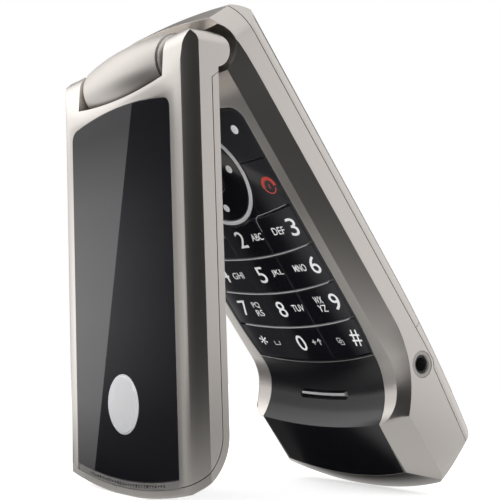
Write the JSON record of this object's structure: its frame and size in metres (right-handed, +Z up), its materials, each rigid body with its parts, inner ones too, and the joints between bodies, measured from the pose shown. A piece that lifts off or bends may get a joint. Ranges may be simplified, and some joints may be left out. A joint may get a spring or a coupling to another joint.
{
  "type": "flip phone",
  "caption": "Clamshell mobile phone standing open like a tent, with a gloss front window, round badge, curved keypad, scooped chin and hinged lid.",
  "frame": {"origin": "on the surface the phone stands on, under the middle of its box", "axes": "+Z up, -Y out of the lid's outer face, X across the phone along its hinge"},
  "size_m": [0.0465, 0.0702, 0.0827],
  "materials": {
    "silver_paint": "satin champagne silver paint on moulded plastic",
    "black_window": "high gloss black acrylic",
    "black_keys": "gloss black with white printed numbers",
    "badge_metal": "polished disc with a bevelled rim",
    "grille_metal": "fine perforated strip",
    "trim_metal": "bright plated trim",
    "display_glass": "clear hard-coated acrylic over a dark display",
    "display_dark": "dark liquid crystal glass",
    "white_plastic": "white moulded plastic",
    "circuit_green": "green solder mask",
    "dark_part": "dark moulded plastic and film",
    "steel": "machined and plated steel",
    "tinned_steel": "thin pressed and tinned sheet",
    "rubber_black": "black rubber",
    "silicone": "translucent silicone sheet",
    "battery_wrap": "wrapped aluminium can"
  },
  "bodies": {
    "base": {"hinge_knuckle": "silver_paint", "hinge_cartridge": "steel", "hinge_spring": "steel", "hinge_bush": "dark_part", "base_front_housing": "silver_paint", "chin_cover": "black_window", "mic_bar": "trim_metal", "key_frame": "black_keys", "key_ribs": "trim_metal", "nav_ring": "trim_metal", "keypad_membrane": "silicone", "dome_sheet": "tinned_steel", "main_circuit_board": "circuit_green", "shield_cans": "tinned_steel", "sim_holder": "tinned_steel", "battery": "battery_wrap", "rear_housing": "silver_paint", "headset_jack": "dark_part", "usb_port": "tinned_steel", "antenna": "dark_part", "microphone": "steel", "vibration_motor": "steel", "base_screws": "steel"},
    "lid": {"lid_front_housing": "silver_paint", "front_window": "black_window", "badge_disc": "badge_metal", "speaker_grille": "grille_metal", "lid_inner_housing": "silver_paint", "display_lens": "display_glass", "display_panel": "display_dark", "backlight_frame": "white_plastic", "outer_display": "display_dark", "lid_circuit_board": "circuit_green", "earpiece": "dark_part", "loudspeaker": "dark_part", "lid_screws": "steel", "lid_bumpers": "rubber_black", "hinge_shaft": "steel"},
    "select_key_body": {"select_key": "black_keys"},
    "soft_key_left_body": {"soft_key_left": "black_keys"},
    "soft_key_right_body": {"soft_key_right": "black_keys"},
    "send_key_body": {"send_key": "black_keys"},
    "end_key_body": {"end_key": "black_keys"},
    "key_1_body": {"key_1": "black_keys"},
    "key_2_body": {"key_2": "black_keys"},
    "key_3_body": {"key_3": "black_keys"},
    "key_4_body": {"key_4": "black_keys"},
    "key_5_body": {"key_5": "black_keys"},
    "key_6_body": {"key_6": "black_keys"},
    "key_7_body": {"key_7": "black_keys"},
    "key_8_body": {"key_8": "black_keys"},
    "key_9_body": {"key_9": "black_keys"},
    "key_star_body": {"key_star": "black_keys"},
    "key_0_body": {"key_0": "black_keys"},
    "key_hash_body": {"key_hash": "black_keys"},
    "nav_rocker": {"nav_pivot": "dark_part"},
    "nav_plate": {"nav_disc": "black_keys"},
    "cover": {"battery_cover": "silver_paint"},
    "volume_rocker": {"volume_key": "silver_paint"},
    "motor_rotor": {"motor_weight": "steel"}
  },
  "joints": [
    {"name": "flip_hinge", "type": "hinge", "parent": "base", "child": "lid", "pos_m": [0, -0.02942, 0.07345], "axis": [-1, 0, 0], "range_deg": [-34.9, 120.1]},
    {"name": "select_key_press", "type": "slide", "parent": "base", "child": "select_key_body", "axis": [0, 0.7716, 0.6361], "range_m": [0, 0.0003], "stiffness_N_per_m": 3000},
    {"name": "soft_key_left_press", "type": "slide", "parent": "base", "child": "soft_key_left_body", "axis": [0, 0.7716, 0.6361], "range_m": [0, 0.0003], "stiffness_N_per_m": 3000},
    {"name": "soft_key_right_press", "type": "slide", "parent": "base", "child": "soft_key_right_body", "axis": [0, 0.7716, 0.6361], "range_m": [0, 0.0003], "stiffness_N_per_m": 3000},
    {"name": "send_key_press", "type": "slide", "parent": "base", "child": "send_key_body", "axis": [0, 0.7716, 0.6361], "range_m": [0, 0.0003], "stiffness_N_per_m": 3000},
    {"name": "end_key_press", "type": "slide", "parent": "base", "child": "end_key_body", "axis": [0, 0.7716, 0.6361], "range_m": [0, 0.0003], "stiffness_N_per_m": 3000},
    {"name": "key_1_press", "type": "slide", "parent": "base", "child": "key_1_body", "axis": [0, 0.7716, 0.6361], "range_m": [0, 0.0003], "stiffness_N_per_m": 3000},
    {"name": "key_2_press", "type": "slide", "parent": "base", "child": "key_2_body", "axis": [0, 0.7716, 0.6361], "range_m": [0, 0.0003], "stiffness_N_per_m": 3000},
    {"name": "key_3_press", "type": "slide", "parent": "base", "child": "key_3_body", "axis": [0, 0.7716, 0.6361], "range_m": [0, 0.0003], "stiffness_N_per_m": 3000},
    {"name": "key_4_press", "type": "slide", "parent": "base", "child": "key_4_body", "axis": [0, 0.7716, 0.6361], "range_m": [0, 0.0003], "stiffness_N_per_m": 3000},
    {"name": "key_5_press", "type": "slide", "parent": "base", "child": "key_5_body", "axis": [0, 0.7716, 0.6361], "range_m": [0, 0.0003], "stiffness_N_per_m": 3000},
    {"name": "key_6_press", "type": "slide", "parent": "base", "child": "key_6_body", "axis": [0, 0.7716, 0.6361], "range_m": [0, 0.0003], "stiffness_N_per_m": 3000},
    {"name": "key_7_press", "type": "slide", "parent": "base", "child": "key_7_body", "axis": [0, 0.7716, 0.6361], "range_m": [0, 0.0003], "stiffness_N_per_m": 3000},
    {"name": "key_8_press", "type": "slide", "parent": "base", "child": "key_8_body", "axis": [0, 0.7716, 0.6361], "range_m": [0, 0.0003], "stiffness_N_per_m": 3000},
    {"name": "key_9_press", "type": "slide", "parent": "base", "child": "key_9_body", "axis": [0, 0.7716, 0.6361], "range_m": [0, 0.0003], "stiffness_N_per_m": 3000},
    {"name": "key_star_press", "type": "slide", "parent": "base", "child": "key_star_body", "axis": [0, 0.7716, 0.6361], "range_m": [0, 0.0003], "stiffness_N_per_m": 3000},
    {"name": "key_0_press", "type": "slide", "parent": "base", "child": "key_0_body", "axis": [0, 0.7716, 0.6361], "range_m": [0, 0.0003], "stiffness_N_per_m": 3000},
    {"name": "key_hash_press", "type": "slide", "parent": "base", "child": "key_hash_body", "axis": [0, 0.7716, 0.6361], "range_m": [0, 0.0003], "stiffness_N_per_m": 3000},
    {"name": "nav_tilt_up_down", "type": "hinge", "parent": "base", "child": "nav_rocker", "pos_m": [0, -0.01348, 0.05782], "axis": [1, 0, 0], "range_deg": [-1.5, 1.5], "stiffness_Nm_per_rad": 0.3},
    {"name": "nav_tilt_left_right", "type": "hinge", "parent": "nav_rocker", "child": "nav_plate", "pos_m": [0, -0.01348, 0.05782], "axis": [0, -0.6361, 0.7716], "range_deg": [-1.5, 1.5], "stiffness_Nm_per_rad": 0.3},
    {"name": "volume_rock", "type": "hinge", "parent": "base", "child": "volume_rocker", "pos_m": [-0.0225, -0.00852, 0.05958], "axis": [0, -0.7716, -0.6361], "range_deg": [-2, 2], "stiffness_Nm_per_rad": 0.2},
    {"name": "cover_slide", "type": "slide", "parent": "base", "child": "cover", "axis": [0, -0.6361, 0.7716], "range_m": [0, 0.01]},
    {"name": "motor_spin", "type": "hinge", "parent": "base", "child": "motor_rotor", "pos_m": [-0.009, -0.01506, 0.06987], "axis": [1, 0, 0], "continuous": true}
  ]
}
